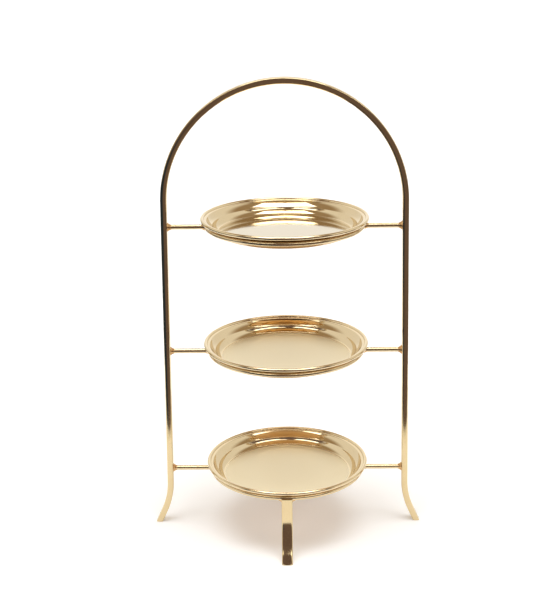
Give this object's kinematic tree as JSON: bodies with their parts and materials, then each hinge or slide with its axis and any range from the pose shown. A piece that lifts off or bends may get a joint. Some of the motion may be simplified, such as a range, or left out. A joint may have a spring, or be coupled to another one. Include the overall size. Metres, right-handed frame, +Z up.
{
  "type": "tiered cake stand",
  "caption": "Tiered cake stand: an arched flat-bar frame with flared feet carries stepped round dishes in brazed wire rings, each dish lifting out.",
  "frame": {"origin": "on the floor, midway between the left and right feet and between the front and rear feet", "axes": "+Z up, +X along the width of the arch, +Y from the front foot to the rear foot"},
  "size_m": [0.2762, 0.1978, 0.4634],
  "materials": {
    "bar": "polished",
    "wire": "polished",
    "dish": "polished, with a fine satin base",
    "braze": "brazed and buffed"
  },
  "bodies": {
    "frame": {"arch_frame": "bar", "ring_bottom": "wire", "rod_bottom_left": "wire", "leg_braze_bottom_left": "braze", "ring_braze_bottom_left": "braze", "rod_bottom_right": "wire", "leg_braze_bottom_right": "braze", "ring_braze_bottom_right": "braze", "ring_middle": "wire", "rod_middle_left": "wire", "leg_braze_middle_left": "braze", "ring_braze_middle_left": "braze", "rod_middle_right": "wire", "leg_braze_middle_right": "braze", "ring_braze_middle_right": "braze", "ring_top": "wire", "rod_top_left": "wire", "leg_braze_top_left": "braze", "ring_braze_top_left": "braze", "rod_top_right": "wire", "leg_braze_top_right": "braze", "ring_braze_top_right": "braze", "foot_front": "bar", "foot_braze_front": "braze", "foot_rear": "bar", "foot_braze_rear": "braze"},
    "bottom_dish": {"dish_bottom": "dish"},
    "middle_dish": {"dish_middle": "dish"},
    "top_dish": {"dish_top": "dish"}
  },
  "joints": [
    {"name": "bottom_dish_lift", "type": "slide", "parent": "frame", "child": "bottom_dish", "axis": [0, 0, 1], "range_m": [0, 0.03]},
    {"name": "middle_dish_lift", "type": "slide", "parent": "frame", "child": "middle_dish", "axis": [0, 0, 1], "range_m": [0, 0.03]},
    {"name": "top_dish_lift", "type": "slide", "parent": "frame", "child": "top_dish", "axis": [0, 0, 1], "range_m": [0, 0.03]}
  ]
}
